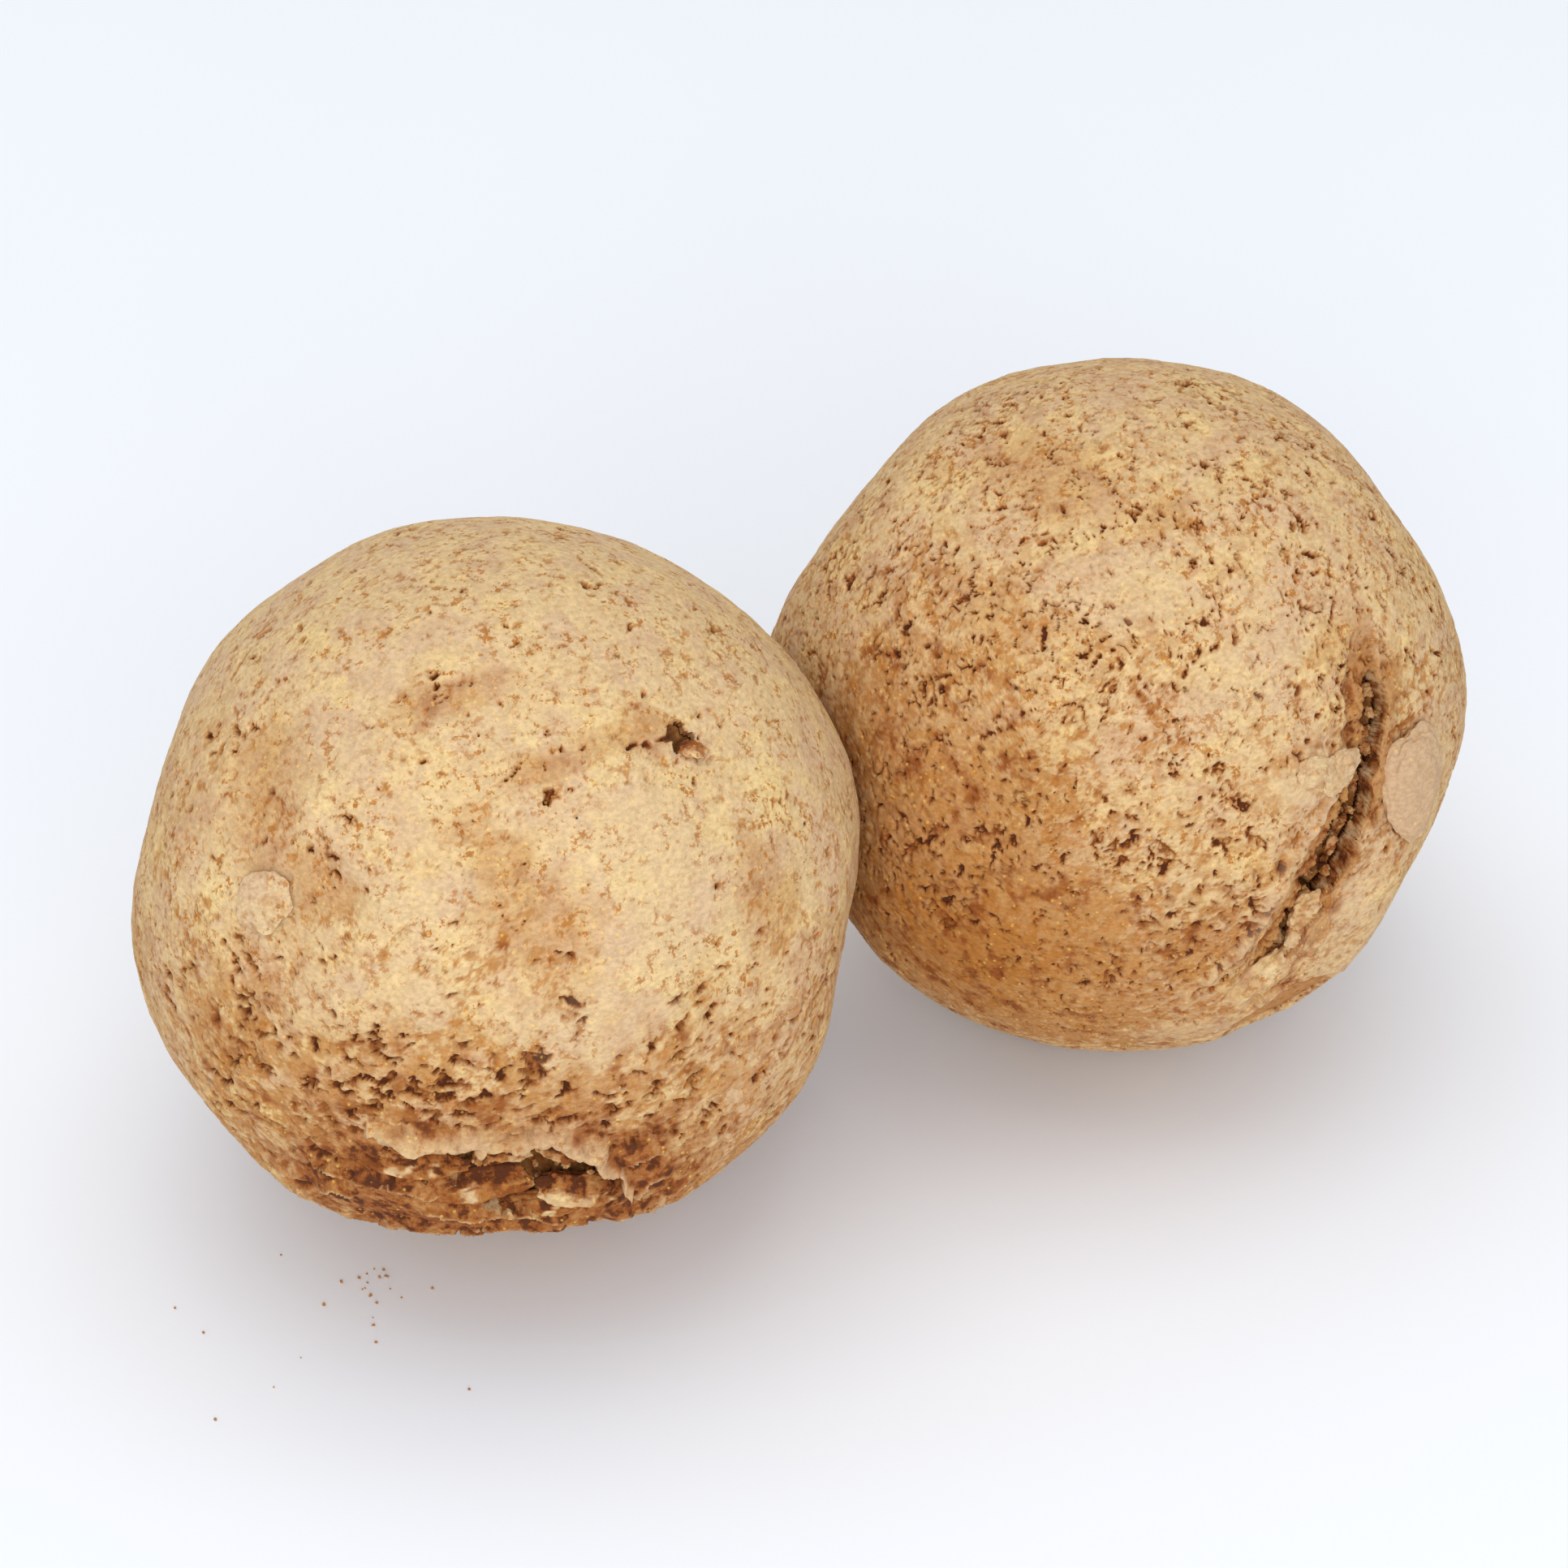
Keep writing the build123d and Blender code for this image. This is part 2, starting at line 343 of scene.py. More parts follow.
# %% [markdown]
# ## Tears
#
# A tear is a crooked line on the skin with a width that changes along it. Everything near it
# asks how far it is from that line: the rind stops there, the lips swell beside it, and the
# core sinks under it.

# %% Distance from a crooked line
def line_distance(spots, radius, line):
    """For a line of (azimuth, elevation, half width): the distance from it as a share of the
    half width there, the same in millimetres, and 1 or -1 for the line's left or right side."""
    ends = np.array([direction(azimuth, elevation) * radius for azimuth, elevation, _ in line])
    nearest, width, side = np.full(len(spots), 1e9), np.ones(len(spots)), np.ones(len(spots))
    for k in range(len(line) - 1):
        run = ends[k + 1] - ends[k]
        t = np.clip((spots - ends[k]) @ run / (run @ run), 0, 1)
        distance = np.linalg.norm(spots - ends[k] - t[:, None] * run, axis=1)
        closer = distance < nearest
        nearest = np.where(closer, distance, nearest)
        width = np.where(closer, line[k][2] + (line[k + 1][2] - line[k][2]) * t, width)
        side = np.where(closer, np.sign((spots - ends[k]) @ np.cross(ends[k] / radius, run)), side)
    return nearest / width, nearest, side


# %% [markdown]
# ## The skin that pressing leaves
#
# Burnished plates of rind lie over a slightly lower, browner under-skin. Where the damp paste
# stuck to the cloth it tore into short pits and cracks, and round the gather it slid into thin
# leaves that overlap like shingles. Each effect is a function of the place on the skin, and
# returns how far the skin moves and what the colours need to know.

# %% Dents, plates, pits, cracks and leaves
RIND = 1.2
GRID_CUTS = 256
DENT_DEPTH = 0.30
FLECK_STRETCH = np.array([1.0, 1.0, 1.35])


def pressed_skin(spots, seed, plate_bias):
    """Relief in millimetres, and how worn through the burnish is, from 0 to 1."""
    relief = DENT_DEPTH * layers(spots, 19.0, seed, 2) + 0.12 * layers(spots, 5.5, seed + 3, 3)
    ragged = warp(spots, 2.4, 0.8, seed + 7)
    plate = 0.75 * layers(ragged, 8.0, seed + 13, 4, 0.6) + plate_bias
    fleck = layers(warp(spots, 1.3, 0.35, seed + 21) * FLECK_STRETCH, 1.3, seed + 25, 4, 0.75)
    worn = step(0.05, 0.95, 1.45 * fleck - plate + 0.32)
    relief = relief + 0.06 * step(-0.15, 0.35, plate) - 0.09 * worn
    relief = relief + (0.020 + 0.030 * worn) * layers(spots, 0.8, seed + 29, 2, 0.7)
    return relief, worn


def torn_pits(spots, seed, amount, stretch, size=2.0):
    """Short torn pits that lie across the stretch direction, where amount is 0 to 1: how far in
    they go, the dark stain in each, and the browned skin about them."""
    squeezed = warp(spots, 2.0, 0.6, seed + 5) * stretch
    field = layers(squeezed, size, seed, 4, 0.62)
    cluster = layers(spots, 5.5, seed + 17, 2)
    level = 0.86 - 0.66 * amount - 0.26 * cluster
    there = step(0.02, 0.15, amount)
    over = field - level
    pit, stain, halo = step(0.0, 0.20, over), step(-0.07, 0.10, over), step(-0.34, -0.02, over)
    return pit * there, stain * there, halo * there


def cracks(spots, seed, amount, stretch, size=2.2):
    """Thin broken cracks that run across the stretch direction, where amount is 0 to 1."""
    squeezed = warp(spots, 1.6, 0.4, seed + 5) * stretch
    field = np.abs(layers(squeezed, size, seed, 2, 0.5))
    broken = layers(spots, 2.6, seed + 17, 2)
    there = step(0.0, 0.25, broken + amount - 0.75) * step(0.02, 0.2, amount)
    return (1 - step(0.015, 0.085, field)) * there


def leaves(spots, seed, place, amount, pitch=3.4, drop=2.3):
    """Overlapping leaves, each with its lip at the lower edge: the relief, a mask of the hollow under
    each lip, which gets painted browner and darker as shade, and the lips themselves."""
    x, y = chart(spots, place[0], place[1], place[2])
    wavy = y + 1.7 * noise(spots, 6.5, seed) + 0.6 * noise(spots, 2.2, seed + 1)
    wavy = wavy + 0.25 * noise(spots, 0.9, seed + 3)
    t = (-wavy / pitch) % 1
    row = np.floor(-wavy / pitch)
    broken = step(-0.30, 0.20, noise(np.stack([x, row * 9.7, row * 3.1], axis=1), 6.0, seed + 2) + 0.10)
    rise = t**0.75 * (1 - step(0.93, 1.0, t))
    relief = amount * broken * drop * (rise - 0.55)
    return relief, amount * broken * (1 - step(0.35, 0.85, t)), amount * broken * step(0.80, 0.96, t)


# %% [markdown]
# ## The front ball's skin
#
# Smooth and pale above, pitted below, with a gather of leaves low on the front, a few scuffed
# hollows and a nick high on the right. The tables below place all of these by azimuth and
# elevation, in degrees, with sizes in millimetres.

# %% The front ball
# a tear's line: azimuth, elevation, half width
FRONT_GATHER = [(-132, -7, 0.9), (-125, -10, 2.3), (-117, -14, 3.6), (-109, -17, 4.7), (-101, -20, 3.7),
                (-94, -22, 0.9)]
NICK = (-64, 49)
NICK_CRACK = [(-66, 50, 0.30), (-70, 50, 0.28), (-73, 51, 0.22), (-80, 51, 0.10)]
SCUFFS = [  # hollows scuffed through the burnish: place, half length, half height, tilt, depth
    (-163, 41, 7.5, 4.5, -62, 0.45), (-146, 32, 4.2, 3.0, -20, 0.42), (-113, 40, 5.0, 2.6, -35, 0.40),
    (-105, 28, 4.6, 6.0, 20, 0.48), (-98, 52, 4.5, 2.2, 5, 0.10), (-76, 53, 5.0, 2.6, -10, 0.14),
    (-128, 63, 6.0, 2.5, 25, 0.06), (-63, 22, 4.0, 6.0, 0, 0.08),
]
SMEARS = [  # smooth pale smears pressed on later: place, half length, half height, tilt, height
    (-124, 33, 4.6, 2.6, 10, 0.20), (-95, 14, 8.0, 3.6, 20, 0.22), (-134, 17, 9.0, 3.0, 16, 0.22),
    (-84, 33, 5.5, 8.0, 0, 0.12), (-153, 49, 5.5, 3.5, 20, 0.20), (-108, 15, 3.4, 1.4, 0, 0.24),
]
ROUGH = [  # torn and pitted regions: how rough, place, half length, half height, tilt, softness
    (0.98, -145, -2, 17, 12, 0, 0.7), (0.92, -118, 1, 16, 9, 0, 0.7), (0.80, -93, 7, 5, 6, 30, 0.6),
    (0.72, -86, -8, 16, 8, 14, 0.6), (0.80, -90, 3, 9, 5, 40, 0.6), (0.40, 175, 32, 8, 12, 0, 0.6),
]


def strongest(spots, ovals):
    """The strongest of several soft ovals at each point."""
    return np.maximum.reduce([strength * patch(spots, *oval) for strength, *oval in ovals])


def scuffed(spots, scuffs, smears, seed):
    """Total dip in millimetres, and the scuff and smear masks."""
    ragged = warp(warp(spots, 4.0, 1.6, seed), 1.4, 0.45, seed + 40)
    scuff, smear, dip = np.zeros(len(spots)), np.zeros(len(spots)), np.zeros(len(spots))
    for azimuth, elevation, long, tall, tilt, depth in scuffs:
        oval = patch(ragged, azimuth, elevation, long, tall, tilt, 0.55)
        scuff = np.maximum(scuff, oval)
        dip = np.maximum(dip, depth * oval)
    for azimuth, elevation, long, tall, tilt, height in smears:
        oval = patch(ragged, azimuth, elevation, long, tall, tilt, 0.22)
        smear = np.maximum(smear, oval)
        dip = dip - height * oval
    return dip, scuff, smear


def height_on_ball(spots):
    """Elevation in degrees."""
    return np.degrees(np.arcsin(np.clip(spots[:, 2] / np.linalg.norm(spots, axis=1), -1, 1)))


def pulled_in(spots, contact):
    """The skin a little inside its round shape, and flatter at the back, but not where the ball
    stands or touches its neighbour."""
    held = np.maximum(patch(spots, 0, -90, 15, 15, 0, 0.4), patch(spots, *contact, 14, 14, 0, 0.4))
    return -(0.35 + 0.45 * patch(spots, 64, 55, 24, 18, 0, 0.5)) * (1 - held)


def front_skin(spots, radius):
    """Relief in millimetres, marks and torn share of the front ball's rind."""
    high = height_on_ball(spots)
    dip, scuff, smear = scuffed(spots, SCUFFS, SMEARS, 410)
    rough = np.maximum.reduce([
        strongest(spots, ROUGH), 0.74 * (1 - step(-26, -8, high)), 0.50 * (1 - step(0, 26, high)),
        0.16 + 0 * high,
    ]) * (1 - 0.6 * smear)
    calm = patch(spots, -62, 18, 20, 22, 0, 0.5)
    bias = 0.56 + 0.004 * (high - 10) - 0.25 * scuff + 0.20 * smear + 0.12 * calm - 0.55 * rough
    relief, worn = pressed_skin(spots, 100, bias)
    share, _, side = line_distance(warp(spots, 3.2, 1.0, 140), radius, FRONT_GATHER)
    around = patch(spots, -118, -25, 21, 11, 0, 0.35)
    leaf, brown_and_shade_under_lip, lip = leaves(spots, 160, (-116, -20, 4), around)
    pitted = rough * (1 - 0.35 * around)
    pit, stain, halo = torn_pits(spots, 120, pitted, np.array([1.0, 1.0, 1.7]), 1.7)
    crack, _, _ = line_distance(warp(spots, 1.5, 0.5, 152), radius, NICK_CRACK)
    crack = 1 - step(0.6, 1.6, crack)
    x, y = chart(spots, NICK[0], NICK[1])
    corners = [-y - 0.9, (y * 0.5 + x * 0.87) - 0.9, (y * 0.5 - x * 0.87) - 0.9]
    nick = np.maximum.reduce(corners) / 1.6 + 1
    nick = nick + 0.25 * noise(spots, 0.9, 150)
    lips = step(0.9, 1.1, share) * (1 - step(1.1, 1.75, share)) * (side > 0)
    relief = relief - dip - 0.66 * pit - 0.1 * halo + leaf - 0.5 * crack + 0.9 * lips
    soiled = patch(warp(spots, 4.0, 2.2, 170), -115, -24, 19, 12, 0, 0.4)
    patchy = step(-0.5, 0.35, layers(spots, 2.4, 176, 3, 0.7))
    stained = (0.30 + 0.65 * patchy) * np.minimum(rough * 1.2, 1)
    # Painted shade: the hollow under each leaf's lip is made browner in worn and darker in stain_and_shade,
    # as the shade that the lip casts.
    worn = np.maximum.reduce([worn, scuff * (0.48 + 0.20 * patchy), 0.95 * halo, stained, soiled,
                              brown_and_shade_under_lip, crack])
    worn = worn * (1 - 0.75 * lip) * (1 - 0.6 * lips)
    # stain_and_shade holds the ball's own pit stains, soil and cracks, plus painted shade in the hollows
    # under the lips.
    stain_and_shade = np.maximum.reduce([stain, brown_and_shade_under_lip * (0.45 + 0.55 * patchy), soiled * (0.55 + 0.45 * patchy),
                              crack])
    stain_and_shade = stain_and_shade * (1 - 0.85 * lip) * (1 - 0.9 * lips)
    push = lips[:, None] * -0.6 * axes_at(-112, -12)[1]
    return {"relief": relief, "push": push, "torn": np.minimum(share, nick), "thicker": 0.8 * around,
            "marks": {"worn": worn, "stain_and_shade": stain_and_shade, "smear": 0.45 * np.maximum(smear, lips)}}


# %% [markdown]
# ## The rear ball's skin
#
# Rougher all over. A curved crevice opens on the right. Left of it a slope falls into it from a
# sharp pale ridge, and fine upright cracks run across the front. A flake broke off low down.

# %% The rear ball
CREVICE = [(-66, 28, 0.4), (-68, 22, 1.5), (-71, 15, 1.1), (-75, 9, 1.4), (-80, 3, 1.8), (-84, -5, 1.2),
           (-87, -13, 1.0), (-90, -20, 0.4)]
RIDGE = [(-75, 18, 0.4), (-80, 14, 0.6), (-86, 10, 0.8), (-91, 6, 0.8), (-94, -1, 0.8), (-97, -9, 0.9),
         (-102, -16, 0.8), (-107, -20, 0.4)]
OLD_CRACK = [(-83, 35, 0.12), (-86, 30, 0.26), (-88, 28, 0.2), (-92, 26, 0.1)]
FLAKE_SCAR = (-81, -37, 6.0, 7.0, 20)
REAR_SCUFFS = [
    (-148, 44, 8.0, 4.0, -10, 0.16), (-170, 22, 6.0, 6.0, 0, 0.30), (-150, 4, 7.0, 9.0, 10, 0.26),
    (-131, -16, 9.0, 4.0, -20, 0.20), (-124, 3, 5.0, 3.0, 20, 0.20), (-105, 65, 4.0, 2.0, 20, 0.20),
    (-104, -8, 4.0, 3.0, 0, 0.18), (-70, 36, 5.0, 3.0, -30, 0.14),
    (-160, 70, 9.0, 5.0, 0, 0.08), (-116, -26, 7.0, 3.0, -10, 0.16),
]
REAR_SMEARS = [
    (-120, 52, 7.0, 4.0, -10, 0.14), (-96, 36, 6.0, 3.4, 20, 0.14), (-78, -16, 5.5, 5.0, 30, 0.30),
    (-100, -33, 8.0, 3.0, 20, 0.25), (-86, 18, 3.0, 2.2, 0, 0.25),
]
REAR_ROUGH = [
    (0.70, -106, 12, 13, 10, 0, 0.7), (0.85, -102, -6, 11, 9, 0, 0.7), (0.85, -150, 8, 11, 17, 0, 0.7),
    (0.78, -125, -22, 15, 9, 0, 0.7), (0.68, -138, 45, 20, 9, 0, 0.7), (1.0, -88, 21, 4, 2.0, 0, 0.6),
    (1.0, -95, 5, 4, 2.0, 40, 0.6), (0.75, -165, 40, 10, 9, 0, 0.6), (0.75, -72, 32, 7, 5, -30, 0.6),
    (0.55, -62, -4, 5, 12, 0, 0.6),
]


def rear_skin(spots, radius):
    """Relief in millimetres, marks and torn share of the rear ball's rind."""
    high = height_on_ball(spots)
    dip, scuff, smear = scuffed(spots, REAR_SCUFFS, REAR_SMEARS, 510)
    brown = 0.95 * patch(spots, -152, 0, 17, 20, 0, 0.6) + 0.55 * patch(spots, -122, -20, 20, 12, 0, 0.6)
    bias = 0.36 + 0.006 * (high - 10) - 0.30 * scuff + 0.25 * smear - brown
    relief, worn = pressed_skin(spots, 500, bias)
    share, away, side = line_distance(warp(spots, 2.4, 0.8, 540), radius, CREVICE)
    ridge, _, _ = line_distance(warp(spots, 3.0, 0.6, 545), radius, RIDGE)
    ridge = 1 - step(0.1, 1.3, ridge)
    rough = np.maximum(strongest(spots, REAR_ROUGH), 0.46) * (1 - 0.5 * smear)
    below = 1 - step(-4, 14, high)
    upright = cracks(spots, 560, rough * (1 - below) * 1.15, np.array([1.0, 1.0, 0.45]), 1.8)
    level = cracks(spots, 570, rough * below * 1.15, np.array([1.0, 1.0, 1.5]), 2.2)
    pit, stain, halo = torn_pits(spots, 520, 0.9 * rough, np.array([1.2, 1.2, 1.0]), 1.1)
    old, _, _ = line_distance(warp(spots, 1.5, 0.6, 552), radius, OLD_CRACK)
    old = (1 - step(0.6, 2.2, old)) * step(-0.35, 0.1, noise(spots, 1.6, 556))
    slope = (1 - step(3.0, 5.4, away)) * (side < 0)
    raw_edge = (1 - step(1.8, 3.8, away + 0.8 * noise(spots, 2.5, 590))) * (side > 0)
    flake = patch(warp(spots, 2.5, 0.5, 580), *FLAKE_SCAR, 0.10)
    lips = step(0.9, 1.2, share) * (1 - step(1.3, 2.6, share)) * (side > 0)
    cut = np.maximum(upright, level)
    relief = relief - dip - 0.42 * pit - 0.1 * halo - 0.42 * cut - 0.5 * old
    torn_grain = layers(spots, 1.7, 594, 3, 0.7)
    relief = relief + 0.8 * ridge - (1.0 + 0.4 * torn_grain) * slope + 0.5 * lips - 0.8 * flake
    patchy = step(-0.2, 0.5, torn_grain)
    stain_and_shade = np.maximum.reduce([stain, 0.9 * cut, old, 0.4 * flake * patchy, (0.15 + 0.6 * patchy) * slope,
                              0.7 * patchy * raw_edge])
    worn = np.maximum.reduce([worn * (1 - ridge), 0.6 * scuff, 0.95 * slope, 0.9 * raw_edge, 0.95 * halo,
                              (0.36 + 0.60 * patchy) * rough, brown * (0.8 + 0.2 * patchy), flake, stain_and_shade])
    push = lips[:, None] * -0.8 * axes_at(-76, 4)[0]
    return {"relief": relief, "push": push, "torn": share, "thicker": 0.9 * (1 - step(3.0, 7.0, away)),
            "marks": {"worn": worn, "stain_and_shade": stain_and_shade, "smear": np.maximum(0.6 * smear, 0.8 * ridge)}}


# %% [markdown]
# ## Rind and core
#
# The rind is a real shell: an outer skin that carries the relief, a smooth inner skin one rind
# thickness below, and torn walls that join the two round each opening. Its hidden inner skin is
# left coarse. The core is a body of its own that is seen through the openings, so it is fine
# and crumbly there.

# %% Shell and core builders
# "torn" is the distance from a tear as a share of its half width, so the rind's edge is at 1
MAIN_BODY = 3
NEAR_TEAR = 4
GROWTH_STEPS = 400
FINE_RIND = 2.0
FINE_CORE = 1.6
RIM_RINGS = 4
WALL_ROUGHNESS = 0.16
CORE_GAP = 0.06
LEAST_RIND = 0.18
FLAT_CLEARANCE = 0.02


def lay_out(ball, skin):
    """Everything that the rind and the core of one ball share."""
    directions, numbers = ball_grid(GRID_CUTS)
    spots = directions * ball["radius"]
    base = skin_radius(ball, directions) + pulled_in(spots, (0 if ball["name"] == "front" else 180, 0))
    found = skin(spots, ball["radius"])
    inner = base - RIND - found["thicker"]
    outer = np.maximum(base + found["relief"], inner + LEAST_RIND)
    return {"ball": ball, "directions": directions, "numbers": numbers, "spots": spots,
            "inner": inner, "outer": outer, **found}


def settle(ball, points):
    """Points kept above the floor and on their own side of the place where the balls touch."""
    placed = points + ball["centre"]
    placed[:, 2] = np.maximum(placed[:, 2], FLAT_CLEARANCE)
    if ball["name"] == "front":
        placed[:, 0] = np.minimum(placed[:, 0], ball["contact"] - FLAT_CLEARANCE)
    else:
        placed[:, 0] = np.maximum(placed[:, 0], ball["contact"] + FLAT_CLEARANCE)
    return placed


def sound_points(quads, torn):
    """Points of the rind that hang together with its main body."""
    kept = quads[(torn[quads] >= 1).all(axis=1)]
    reached = torn > MAIN_BODY
    near = kept[(torn[kept] < NEAR_TEAR).any(axis=1)]
    for _ in range(GROWTH_STEPS):
        touching = near[reached[near].any(axis=1)]
        before = reached.sum()
        reached[touching] = True
        if reached.sum() == before:
            break
    return reached & (torn >= 1)


def open_edges(faces):
    """Directed edges that only one face uses."""
    pairs = np.stack([faces, np.roll(faces, -1, axis=1)], axis=-1).reshape(-1, 2)
    stride = faces.max() + 1
    return pairs[~np.isin(pairs[:, 0] * stride + pairs[:, 1], pairs[:, 1] * stride + pairs[:, 0])]


def build_rind(layout, material):
    """The shell: outer skin, inner skin, and torn walls between them."""
    ball, directions, count = layout["ball"], layout["directions"], len(layout["directions"])
    outer = directions * layout["outer"][:, None] + layout["push"]
    inner = directions * layout["inner"][:, None]
    quads = grid_quads(layout["numbers"])
    sound = sound_points(quads, layout["torn"])
    skin = quads[sound[quads].all(axis=1)]
    small, large = blocky_faces(layout["numbers"], layout["torn"] < FINE_RIND)
    small = small[sound[small].all(axis=1)]
    edges = open_edges(skin)
    rim, edges = np.unique(edges, return_inverse=True)
    edges = edges.reshape(-1, 2)
    rings, walls = [rim], []
    points = [outer, inner]
    for k in range(1, RIM_RINGS):
        share = k / RIM_RINGS
        ring = outer[rim] * (1 - share) + inner[rim] * share
        ragged = [noise(ring, 0.8, seed + k) for seed in (700, 710, 720)]
        ring = ring + WALL_ROUGHNESS * np.stack(ragged, axis=1)
        rings.append(2 * count + (k - 1) * len(rim) + np.arange(len(rim)))
        points.append(ring)
    rings.append(rim + count)
    for upper, lower in zip(rings[:-1], rings[1:]):
        a, b = edges[:, 0], edges[:, 1]
        walls.append(np.stack([upper[b], upper[a], lower[a], lower[b]], axis=1))
    torn_wall = np.concatenate(points[2:])
    patchy = step(-0.4, 0.4, layers(torn_wall, 1.5, 740, 3, 0.7))
    marks = {mark: np.concatenate([values, np.full(count, under), under * (0.35 + 0.65 * patchy)])
             for (mark, values), under in zip(layout["marks"].items(), (1.0, 0.9, 0.0))}
    inside = [small[:, ::-1] + count, [[n + count for n in face[::-1]] for face in large]]
    placed = settle(ball, np.concatenate(points))
    faces = [skin, np.concatenate(walls), *inside]
    return make_piece(f"{ball['name']}_rind_skin", placed, faces, marks, material)


def build_core(layout, sink, material):
    """The core, sunk by a depth under the openings, with crumbs and holes there, and painted
    darker as shade where it sinks deeper.
    """
    ball, spots = layout["ball"], layout["spots"]
    opening = 1 - step(0.45, 1.3, layout["torn"])
    pores = holes(warp(spots, 1.2, 0.4, 806), 2.2, 810, 0.7)
    crumble = 1.3 * layers(spots, 1.9, 800, 4, 0.75) + 2.2 * pores
    depth = opening * (sink + crumble)
    radius = layout["inner"] - CORE_GAP - np.maximum(depth, 0)
    small, large = blocky_faces(layout["numbers"], layout["torn"] < FINE_CORE)
    # Painted shade: over the core's own dark base of 0.42, the colour darkens where the core is sunk
    # deeper, standing in for the shade down in the openings.
    shaded = step(1.6, 3.6, depth + 0.6 * noise(spots, 1.1, 820))
    marks = {"worn": np.ones(len(spots)), "stain_and_shade": 0.42 + 0.58 * shaded, "smear": np.zeros(len(spots))}
    placed = settle(ball, layout["directions"] * radius[:, None])
    return make_piece(f"{ball['name']}_core_mass", placed, [small, large], marks, material)


# %% [markdown]
# ## Folds, flaps and crumbs
#
# What else sits on a ball is a lump of paste that was pressed against it: a leaf in the gather,
# a flap, a chip, a crumb. Each starts as a small blown-up cube that is stretched, made ragged by
# the same noise, and bent along the ball's skin. Leaning lifts its lower edge off the skin.

# %% Lumps of paste
DEGREES_PER_RADIAN = 57.3


def lump(ball, place, halves, tilt=0.0, lean=0.0, height=0.0, seed=1, rough=0.2, cuts=24, stain_and_shade=0.0,
         soil=0.0, smear=0.5):
    """Points, faces and marks of a lump. Halves are half its length, height and thickness."""
    directions, numbers = ball_grid(cuts)
    right, up, outward = axes_at(*place, tilt)
    long, tall, thick = halves
    ragged = 1 + rough * layers(directions * 9.0, 8.0, seed, 3, 0.55)[:, None]
    flat = directions * np.array([long, tall, thick]) * ragged
    flat[:, 2] += 0.5 * rough * thick * layers(flat * np.array([1, 1, 0]) + seed, 1.3, seed + 9, 3, 0.7)
    flat[:, 2] -= np.tan(radians(lean)) * flat[:, 1]
    ways = unit(outward * ball["radius"] + flat[:, :1] * right + flat[:, 1:2] * up)
    points = ways * (skin_radius(ball, ways) + height + flat[:, 2])[:, None]
    # Painted shade: the side that faces the ball, and on a leaning lump its upper half, which leaning tips
    # toward the skin, are made browner and darker as if in shade.
    under = 1 - step(-0.6, 0.1, directions[:, 2])
    if lean > 15:
        brow = directions[:, 1] + 0.25 * noise(directions * 5, 1.0, seed + 7)
        under = np.maximum(under, step(-0.30, 0.35, brow))
    patchy = step(-0.2, 0.5, layers(points, 1.4, seed + 5, 3, 0.7))
    soiled = soil * step(-0.50, 0.15, layers(points, 2.6, seed + 15, 3, 0.7))
    # stain_and_shade: the given darkening of lumps that sit down in a tear, which is dark paste and painted
    # shade, then the painted underside shade and the soil blotches.
    dark = stain_and_shade * (0.6 + 0.6 * patchy) + (0.55 + 0.45 * patchy) * under + 0.6 * soiled
    marks = {"worn": np.clip(np.maximum.reduce([0.5 * patchy + stain_and_shade, under, 1.3 * soiled]), 0, 1),
             "stain_and_shade": np.clip(dark, 0, 1),
             "smear": smear * (1 - under) * (stain_and_shade < 0.1) * (1 - soiled)}
    return points, grid_quads(numbers), marks


def build_lumps(ball, name, lumps, material):
    """One piece from several lumps."""
    start, points, faces, marks = 0, [], [], {"worn": [], "stain_and_shade": [], "smear": []}
    for lump_points, lump_faces, lump_marks in lumps:
        points.append(lump_points)
        faces.append(lump_faces + start)
        start += len(lump_points)
        for mark in marks:
            marks[mark].append(lump_marks[mark])
    joined = {mark: np.concatenate(values) for mark, values in marks.items()}
    return make_piece(name, settle(ball, np.concatenate(points)), faces, joined, material)


def crumbs_along(ball, line, count, reach, sizes, heights, seed, stain_and_shade):
    """Small crumbs scattered about a tear."""
    draw = np.random.default_rng(seed)
    made = []
    for k in range(count):
        at = draw.uniform(0.02, 0.98) * (len(line) - 1)
        first, second, share = line[int(at)], line[int(at) + 1], at % 1
        azimuth, elevation, width = (first[i] + (second[i] - first[i]) * share for i in range(3))
        across = draw.uniform(-reach, reach) * width / ball["radius"] * DEGREES_PER_RADIAN
        place = (azimuth + across * draw.uniform(-1, 1), elevation + across * draw.uniform(-1, 1))
        size = draw.uniform(*sizes)
        halves = size * draw.uniform(0.7, 1.3, 3)
        height, tilt = draw.uniform(*heights), draw.uniform(0, 180)
        made.append(lump(ball, place, halves, tilt, height=height, seed=seed + k, rough=0.45,
                         cuts=14, stain_and_shade=stain_and_shade))
    return made


# %% [markdown]
# ## What the materials share
#
# All four finishes are the same ground herbs. A first node group makes the grain of the powder
# and its stray specks, and a second one turns a place's marks into colour: burnished beige, worn
# orange-brown, dark pit stains, and painted shade that darkens hollows, lump undersides and the
# sunken core. Object coordinates keep the pattern fixed to a ball when it is lifted.

# %% Node helpers and the two shared groups
COLOUR_A, COLOUR_B, COLOUR_RESULT = 6, 7, 2  # the mix node has sockets of one name for each type


def linear(red, green, blue):
    """A colour given as 0 to 255 display numbers, as the shader wants it."""
    parts = [part / 255 for part in (red, green, blue)]
    return [((part + 0.055) / 1.055) ** 2.4 if part > 0.04 else part / 12.92 for part in parts] + [1.0]


def feed(tree, socket, value):
    """Gives a socket a number or a colour, or links another node's output to it."""
    if isinstance(value, bpy.types.NodeSocket):
        tree.links.new(value, socket)
    else:
        socket.default_value = value


